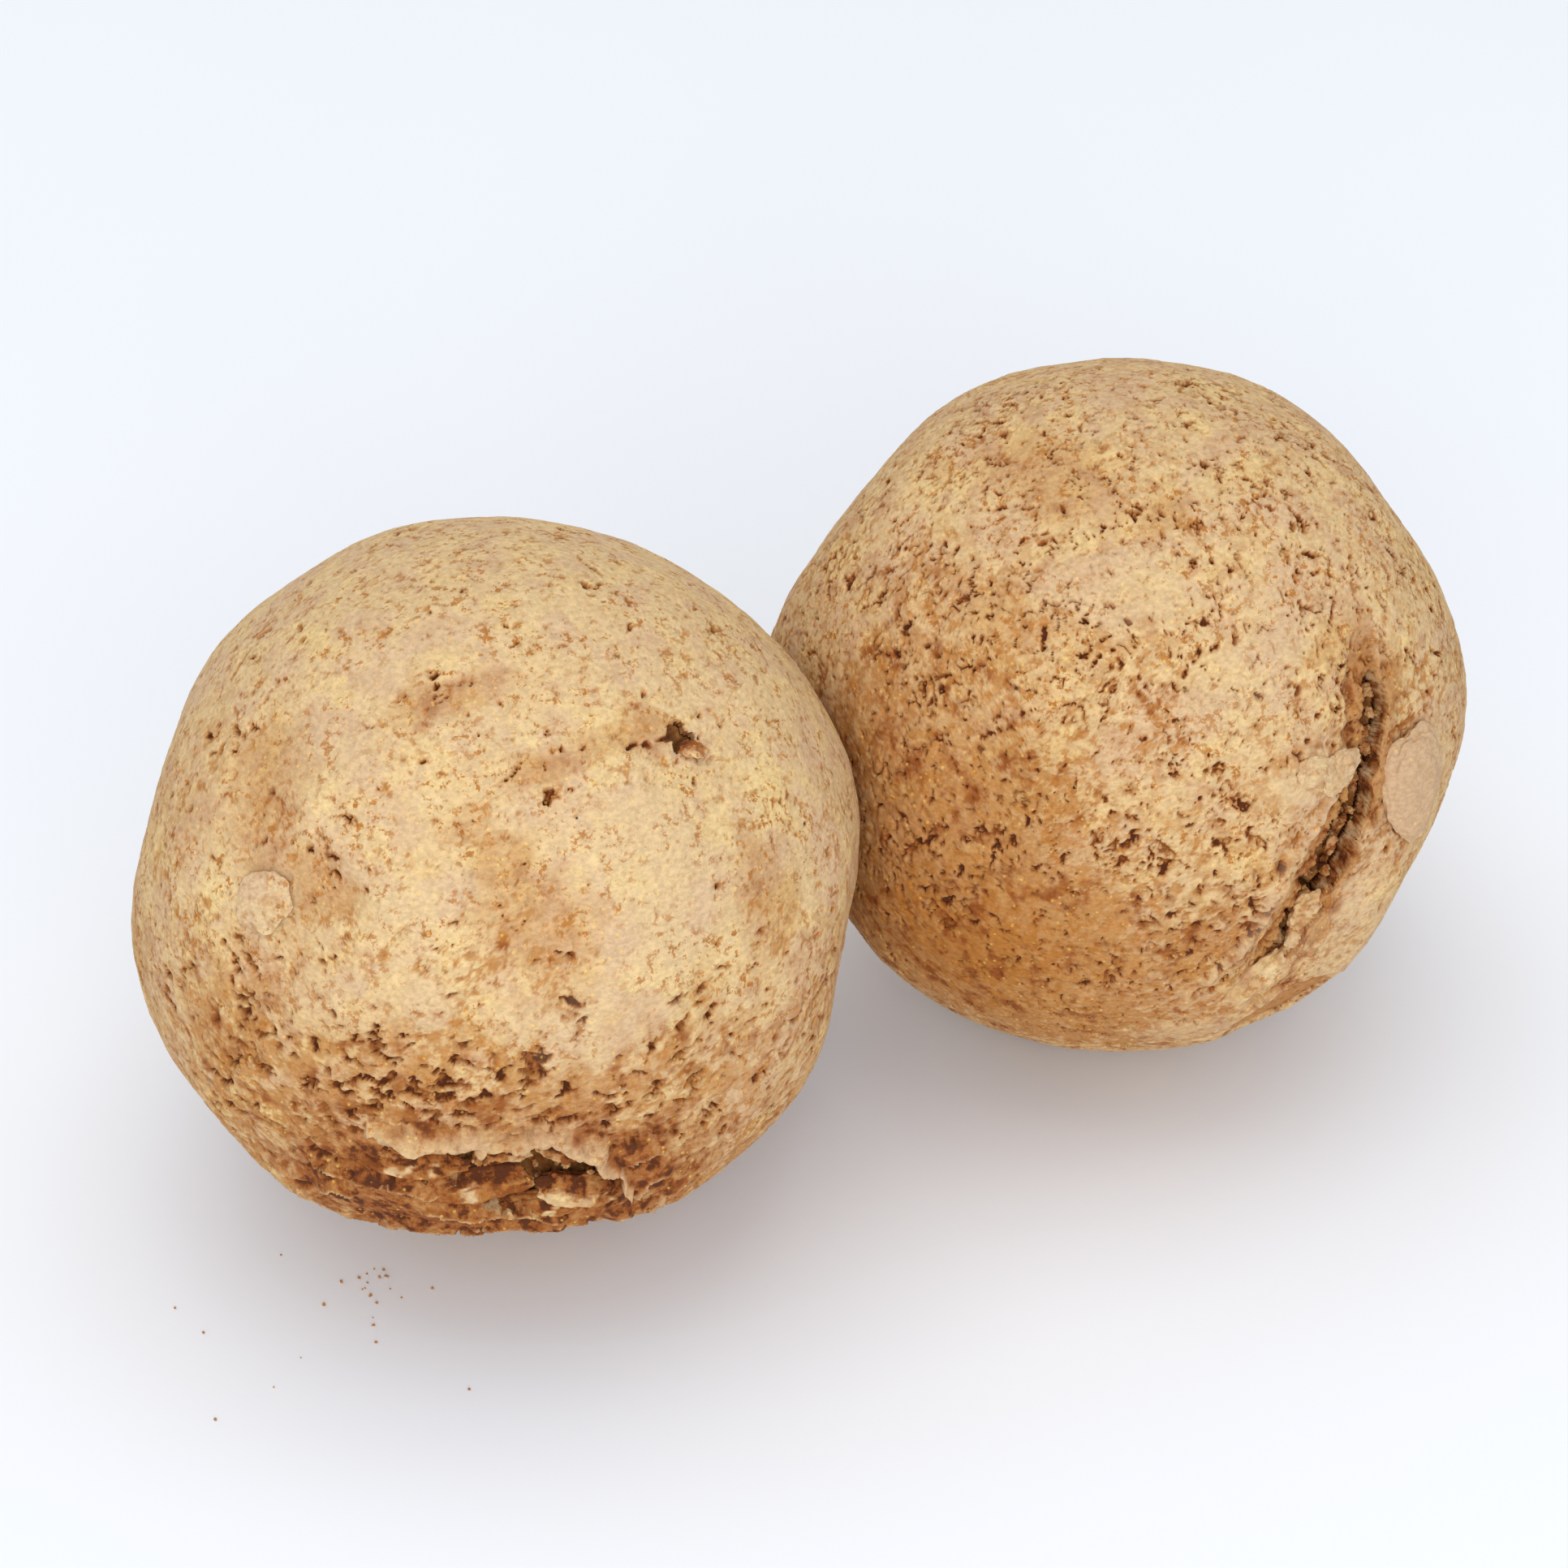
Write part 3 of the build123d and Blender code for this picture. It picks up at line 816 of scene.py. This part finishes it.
def place_node(tree, kind, inputs=None, **settings):
    """A node with its settings, and its inputs fed."""
    made = tree.nodes.new(kind)
    for key, value in settings.items():
        setattr(made, key, value)
    for key, value in (inputs or {}).items():
        feed(tree, made.inputs[key], value)
    return made


def noise_of(tree, where, scale, detail=2.0, roughness=0.55):
    inputs = {"Vector": where, "Scale": scale, "Detail": detail, "Roughness": roughness}
    return place_node(tree, "ShaderNodeTexNoise", inputs).outputs["Fac"]


def ranged(tree, value, low, high, to_low=0.0, to_high=1.0):
    inputs = {"Value": value, "From Min": low, "From Max": high, "To Min": to_low, "To Max": to_high}
    made = place_node(tree, "ShaderNodeMapRange", inputs, interpolation_type="SMOOTHSTEP")
    return made.outputs["Result"]


def sums(tree, operation, first, second, third=0.0):
    inputs = {0: first, 1: second, 2: third}
    return place_node(tree, "ShaderNodeMath", inputs, operation=operation).outputs["Value"]


def blend_colour(tree, share, first, second, how="MIX"):
    made = place_node(tree, "ShaderNodeMix", {"Factor": share}, data_type="RGBA", blend_type=how)
    feed(tree, made.inputs[COLOUR_A], first)
    feed(tree, made.inputs[COLOUR_B], second)
    return made.outputs[COLOUR_RESULT]


def object_place(tree):
    return place_node(tree, "ShaderNodeTexCoord").outputs["Object"]


def new_material(name, roughness):
    material = bpy.data.materials.new(name)
    material.use_nodes = True
    shader = material.node_tree.nodes["Principled BSDF"].inputs
    shader["Roughness"].default_value = roughness
    return material, material.node_tree, shader


def new_group(name, inputs, outputs):
    """An empty node group with named sockets, and its two end nodes."""
    tree = bpy.data.node_groups.new(name, "ShaderNodeTree")
    for title, kind, value in inputs:
        socket = tree.interface.new_socket(title, in_out="INPUT", socket_type=f"NodeSocket{kind}")
        if value is not None:
            socket.default_value = value
    for title, kind in outputs:
        tree.interface.new_socket(title, in_out="OUTPUT", socket_type=f"NodeSocket{kind}")
    return tree, tree.nodes.new("NodeGroupInput").outputs, tree.nodes.new("NodeGroupOutput").inputs


def specks(tree, where, scale, share, size):
    """A mask of small round specks: which share of the cells has one, and how wide they are."""
    cells = place_node(tree, "ShaderNodeTexVoronoi", {"Vector": where, "Scale": scale})
    chance = place_node(tree, "ShaderNodeSeparateColor", {0: cells.outputs["Color"]}).outputs[0]
    chosen = sums(tree, "LESS_THAN", chance, share)
    return sums(tree, "MULTIPLY", chosen, ranged(tree, cells.outputs["Distance"], size, size * 0.6))


GRAIN_SCALE = 2600.0  # noise cells in a metre


def make_grain_group():
    tree, given, out = new_group(
        "Powder grain", [("Coarseness", "Float", 1.0)],
        [("Height", "Float"), ("Fibre", "Float"), ("Gold", "Float"), ("Soot", "Float"), ("White", "Float")])
    where = object_place(tree)
    scale = sums(tree, "DIVIDE", GRAIN_SCALE, given["Coarseness"])
    fine = noise_of(tree, where, scale, 3.0, 0.65)
    inputs = {"Vector": where, "Scale": (0.8, 0.8, 1.3)}
    stretched = place_node(tree, "ShaderNodeMapping", inputs).outputs[0]
    fibre = noise_of(tree, stretched, sums(tree, "MULTIPLY", scale, 0.9), 2.0, 0.6)
    tree.links.new(sums(tree, "ADD", fine, fibre), out["Height"])
    tree.links.new(fibre, out["Fibre"])
    tree.links.new(specks(tree, where, 1900.0, 0.10, 0.34), out["Gold"])
    tree.links.new(specks(tree, where, 420.0, 0.006, 0.10), out["Soot"])
    tree.links.new(specks(tree, where, 300.0, 0.003, 0.07), out["White"])
    return tree


PALE = linear(213, 182, 134)
YELLOW = linear(222, 191, 133)
ROSY = linear(204, 170, 134)
WORN = linear(172, 110, 46)
RUST = linear(140, 74, 24)
# the darkest brown: pit stains, and painted shade in hollows, under lumps and deep in the core
DARK_STAIN_AND_SHADE = linear(78, 36, 12)
GOLD = linear(244, 196, 96)
SMOOTH = linear(190, 154, 118)
SOOT = linear(60, 52, 50)
WHITE = linear(250, 245, 235)


def make_colour_group():
    tree, given, out = new_group(
        "Herb colours",
        [("Worn", "Float", 0.0), ("Stain_and_shade", "Float", 0.0), ("Smear", "Float", 0.0), ("Fibre", "Float", 0.5),
         ("Gold", "Float", 0.0), ("Soot", "Float", 0.0), ("White", "Float", 0.0)],
        [("Color", "Color")])
    where = object_place(tree)
    clouds = ranged(tree, noise_of(tree, where, 170.0, 6.0, 0.7), 0.46, 0.64)
    drifts = ranged(tree, noise_of(tree, where, 210.0, 4.0, 0.6), 0.45, 0.62)
    flecks = ranged(tree, noise_of(tree, where, 900.0, 3.0, 0.7), 0.50, 0.66)
    rubbed = sums(tree, "MULTIPLY", given["Worn"], sums(tree, "MULTIPLY_ADD", flecks, 0.18, 0.82))
    crumbs = ranged(tree, noise_of(tree, where, 1150.0, 4.0, 0.75), 0.53, 0.61)
    gathered = ranged(tree, noise_of(tree, where, 240.0, 2.0), 0.38, 0.62, 0.25, 1.0)
    crumbs = sums(tree, "MULTIPLY", crumbs, gathered)
    rusty = ranged(tree, noise_of(tree, where, 420.0, 3.0, 0.6), 0.5, 0.7)
    rusty = sums(tree, "MULTIPLY", rusty, sums(tree, "POWER", given["Worn"], 2.0))
    shreds = ranged(tree, noise_of(tree, where, 620.0, 4.0, 0.7), 0.36, 0.64, 0.55, 1.25)
    # the stain_and_shade mark made ragged: pit stains, soil and cracks, plus painted shade; its high end
    # paints the darkest brown
    depth = sums(tree, "MULTIPLY", given["Stain_and_shade"], shreds)
    shade = ranged(tree, given["Fibre"], 0.3, 0.7, 0.87, 1.10)
    grey = place_node(tree, "ShaderNodeCombineColor", {0: shade, 1: shade, 2: shade}).outputs[0]
    colour = blend_colour(tree, clouds, PALE, YELLOW)
    for share, coat, *how in (
        (sums(tree, "MULTIPLY", drifts, 0.75), ROSY), (crumbs, WORN), (rubbed, WORN), (rusty, RUST),
        (ranged(tree, depth, 0.15, 0.80), RUST), (ranged(tree, depth, 0.62, 1.0, 0.0, 0.9), DARK_STAIN_AND_SHADE),
        (sums(tree, "MULTIPLY", given["Smear"], 0.45), SMOOTH), (1.0, grey, "MULTIPLY"),
        (sums(tree, "MULTIPLY", given["Gold"], 0.40), GOLD), (given["Soot"], SOOT),
        (given["White"], WHITE),
    ):
        colour = blend_colour(tree, share, colour, coat, *how)
    tree.links.new(colour, out["Color"])
    return tree


GRAIN = make_grain_group()
COLOURS = make_colour_group()


# %% [markdown]
# ## The four finishes
#
# Palms burnished the rind, so its grain is fine and shallow. The core is coarse and dull, the
# torn folds lie between the two, and the smeared flaps are smoothest. Each finish is the same
# recipe with its own coarseness, grain depth and roughness.

# %% The four finishes
def herb_material(name, coarseness, grain_depth, roughness):
    material, tree, shader = new_material(name, roughness)
    shader["Specular IOR Level"].default_value = 0.25
    grain = place_node(tree, "ShaderNodeGroup", node_tree=GRAIN)
    grain.inputs["Coarseness"].default_value = coarseness
    colours = place_node(tree, "ShaderNodeGroup", node_tree=COLOURS)
    for mark in ("Worn", "Stain_and_shade", "Smear"):
        read = place_node(tree, "ShaderNodeAttribute", attribute_name=mark.lower())
        tree.links.new(read.outputs["Fac"], colours.inputs[mark])
    for part in ("Fibre", "Gold", "Soot", "White"):
        tree.links.new(grain.outputs[part], colours.inputs[part])
    tree.links.new(colours.outputs["Color"], shader["Base Color"])
    inputs = {"Height": grain.outputs["Height"], "Distance": grain_depth * MM, "Strength": 1.0}
    bump = place_node(tree, "ShaderNodeBump", inputs)
    tree.links.new(bump.outputs["Normal"], shader["Normal"])
    return material


FINISHES = {
    "burnished_herb_rind": herb_material("burnished_herb_rind", 1.0, 0.035, 0.85),
    "coarse_herb_core": herb_material("coarse_herb_core", 1.6, 0.12, 0.95),
    "herb_paste": herb_material("herb_paste", 1.1, 0.05, 0.9),
    "smooth_herb_paste": herb_material("smooth_herb_paste", 0.8, 0.02, 0.8),
}
print("finishes", list(FINISHES))


# %% [markdown]
# ## Rinds and cores
#
# The two big pieces of each ball come first. Each one rides on its ball's body, so that the
# loose rear ball can be lifted, and stands in for the CAD node of the same part.

# %% Build the rinds and cores
def hand_in(piece, body, node):
    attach(piece, body)
    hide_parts(node)


for ball, skin, sink in ((FRONT, front_skin, 2.0), (REAR, rear_skin, 3.0)):
    layout = lay_out(ball, skin)
    name = ball["name"]
    rind = build_rind(layout, FINISHES["burnished_herb_rind"])
    hand_in(rind, f"{name}_ball", f"{name}_rind")
    core = build_core(layout, sink, FINISHES["coarse_herb_core"])
    hand_in(core, f"{name}_ball", f"{name}_core")


# %% [markdown]
# ## What lies in and on the front ball
#
# The gather's leaves are torn folds of paste, soiled brown, with crumbs between them. A smooth
# pat was pressed on at the left, and a chip hangs in the nick. Modelling them as lumps of
# their own, rather than as more relief, gives them undersides and real gaps.

# %% Front lumps
# each lump: ball, place, half sizes, tilt, lean, height above the skin, seed, roughness
front_folds = [
    lump(FRONT, (-127, -13), (4.4, 1.3, 0.8), -8, 32, -0.9, 21, 0.32, soil=1.0),
    lump(FRONT, (-119, -19), (5.2, 1.4, 0.8), 2, 32, -1.1, 22, 0.32, soil=1.0),
    lump(FRONT, (-101, -22), (4.0, 1.3, 0.8), -14, 28, -0.9, 23, 0.32, soil=1.0),
    lump(FRONT, (-113, -14), (2.6, 0.9, 0.7), -14, 22, -2.0, 24, 0.34, stain_and_shade=0.45),
    lump(FRONT, (-107, -25), (4.4, 1.2, 0.8), 6, 28, -1.0, 25, 0.32, soil=1.0),
    lump(FRONT, (-104, -15), (2.4, 1.0, 0.7), -30, 18, -2.2, 26, 0.34, stain_and_shade=0.5),
]
front_folds += crumbs_along(FRONT, FRONT_GATHER, 40, 0.8, (0.25, 0.65), (-2.9, -1.7), 60, 0.5)
front_pat = [lump(FRONT, (-155, 26), (3.1, 2.6, 0.34), 40, 0, -0.08, 31, 0.16, 48, smear=0.3)]
front_chip = [lump(FRONT, (-64, 46.5), (1.3, 0.9, 0.5), -20, 20, -0.5, 41, 0.4, stain_and_shade=0.3)]
for name, lumps, slot, node in (
    ("front_gather_leaves", front_folds, "herb_paste", "front_gather_folds"),
    ("front_side_smear", front_pat, "smooth_herb_paste", "front_side_pat"),
    ("front_nick_crumb", front_chip, "herb_paste", "front_nick_chip"),
):
    hand_in(build_lumps(FRONT, name, lumps, FINISHES[slot]), "front_ball", node)


# %% [markdown]
# ## What lies in and on the rear ball
#
# Folds run along the low end of the crevice. A broad smooth flap stands off its outer side, a
# plump knob of paste overhangs its inner side, and grit has collected in it.

# %% Rear lumps
rear_folds = [
    lump(REAR, (-85, -9), (2.6, 1.5, 0.9), 70, 10, -0.9, 51, 0.25, stain_and_shade=0.2),
    lump(REAR, (-84, -14), (3.2, 2.0, 1.1), 60, 10, -0.5, 52, 0.28, soil=0.6),
    lump(REAR, (-93, -20), (4.2, 1.6, 0.9), 35, 12, -0.4, 53, 0.28, soil=0.4),
]
rear_flap = [lump(REAR, (-63.5, 8), (5.3, 3.8, 1.5), 66, 0, 0.1, 55, 0.16, 48, smear=2.0)]
rear_lip = [
    lump(REAR, (-80, 17), (2.7, 1.9, 1.0), 20, 0, -0.3, 57, 0.26, 32, smear=1.0),
    lump(REAR, (-85, 19), (2.2, 1.5, 0.8), -10, 0, -0.2, 58, 0.26, smear=1.0),
]
rear_crumbs = crumbs_along(REAR, CREVICE, 46, 1.1, (0.25, 0.65), (-2.7, -1.4), 90, 0.62)
for name, lumps, slot, node in (
    ("rear_gather_leaves", rear_folds, "herb_paste", "rear_gather_folds"),
    ("rear_gather_island", rear_flap, "smooth_herb_paste", "rear_gather_flap"),
    ("rear_gather_knob", rear_lip, "smooth_herb_paste", "rear_gather_lip"),
    ("rear_gather_grit", rear_crumbs, "herb_paste", "rear_gather_crumbs"),
):
    hand_in(build_lumps(REAR, name, lumps, FINISHES[slot]), "rear_ball", node)


# %% [markdown]
# ## Table, loose powder, light and camera
#
# A plain pale table shows the balls' soft shadows. A little powder has come off and lies near
# the front ball. The room is bright and even, as in a light tent, with one warm softbox
# overhead and a cooler one low in front that keeps the undersides readable.

# %% Table and loose powder
def floor_finish():
    material, tree, shader = new_material("pale_table", 0.9)
    where = object_place(tree)
    shade = ranged(tree, noise_of(tree, where, 6.0, 3.0), 0.35, 0.65)
    colour = blend_colour(tree, shade, (0.848, 0.845, 0.855, 1), (0.858, 0.855, 0.865, 1))
    tree.links.new(colour, shader["Base Color"])
    return material


FLOOR_HALF = 8.0
GRAIN_AZIMUTH = -149
GRAIN_REACH = 22
GRAIN_SIZES = (0.06, 0.17)
floor_mesh = bpy.data.meshes.new("table_top")
floor_corners = [(x * FLOOR_HALF, y * FLOOR_HALF, 0) for x, y in ((-1, -1), (1, -1), (1, 1), (-1, 1))]
floor_mesh.from_pydata(floor_corners, [], [(0, 1, 2, 3)])
floor_mesh.materials.append(floor_finish())
floor = add_object("table_top", floor_mesh)


def loose_grains(ball, azimuth, reach, spread, count, seed):
    """Powder that has come off a ball and lies near it on the table."""
    draw = np.random.default_rng(seed)
    directions, numbers = ball_grid(4)
    foot = ball["centre"] * np.array([1, 1, 0]) + direction(azimuth, 0) * reach
    points, faces = [], []
    for k in range(count):
        size = draw.uniform(*GRAIN_SIZES)
        spot = foot + np.append(draw.normal(0, spread, 2), size * 0.7)
        points.append(spot + directions * size * draw.uniform(0.7, 1.3, 3))
        faces.append(grid_quads(numbers) + k * len(directions))
    points = np.concatenate(points)
    whole = np.ones(len(points))
    marks = {"worn": whole, "stain_and_shade": 0.3 * whole, "smear": 0 * whole}
    return make_piece(f"table_grains_{seed}", points, faces, marks, FINISHES["coarse_herb_core"])


for reach, spread, count, seed in ((GRAIN_REACH, 2.4, 18, 1), (GRAIN_REACH + 8, 11.0, 14, 2)):
    loose_grains(FRONT, GRAIN_AZIMUTH, reach, spread, count, seed)


# %% Light
ROOM_COLOUR = (0.86, 0.92, 1.0, 1)
ROOM_STRENGTH = 0.86
WARM = (1.0, 0.96, 0.88)
COOL = (0.87, 0.94, 1.0)
world = bpy.data.worlds.new("soft_room")
bpy.context.scene.world = world
world.use_nodes = True
room = world.node_tree.nodes["Background"].inputs
room["Color"].default_value = ROOM_COLOUR
room["Strength"].default_value = ROOM_STRENGTH


def softbox(name, place, aim, size, power, colour):
    light = bpy.data.lights.new(name, "AREA")
    light.shape = "SQUARE"
    light.size = size
    light.energy = power
    light.color = colour
    lamp = add_object(name, light)
    lamp.location = place
    lamp.rotation_euler = (Vector(aim) - Vector(place)).to_track_quat("-Z", "Y").to_euler()


middle = (cad_bounds[0] + cad_bounds[1]) / 2
softbox("overhead", (middle.x - 0.05, middle.y + 0.05, 0.9), middle, 0.8, 2.3, WARM)
softbox("front_fill", (middle.x - 0.35, middle.y - 0.75, 0.32), middle, 0.6, 4.4, COOL)

bpy.context.scene.view_settings.view_transform = "Standard"

print("lights", [item.name for item in bpy.data.lights])


# %% Camera
VIEW_AZIMUTH = -26.35 - 90
VIEW_ELEVATION = 35.0
VIEW_DISTANCE = 453.27 * MM
AIM_SHIFT = Vector((-2.4, 1.5, -0.15)) * MM
LENS = 113.2
SENSOR_WIDTH = 36.0
camera_data = bpy.data.cameras.new("viewpoint")
camera_data.lens = LENS
camera_data.sensor_width = SENSOR_WIDTH
camera_data.clip_start = 0.01
camera = add_object("viewpoint", camera_data)
aim = middle + AIM_SHIFT
camera.location = aim + Vector(direction(VIEW_AZIMUTH, VIEW_ELEVATION)) * VIEW_DISTANCE
camera.rotation_euler = (aim - camera.location).to_track_quat("-Z", "Y").to_euler()
bpy.context.scene.camera = camera
print("camera at", [round(part / MM, 1) for part in camera.location])
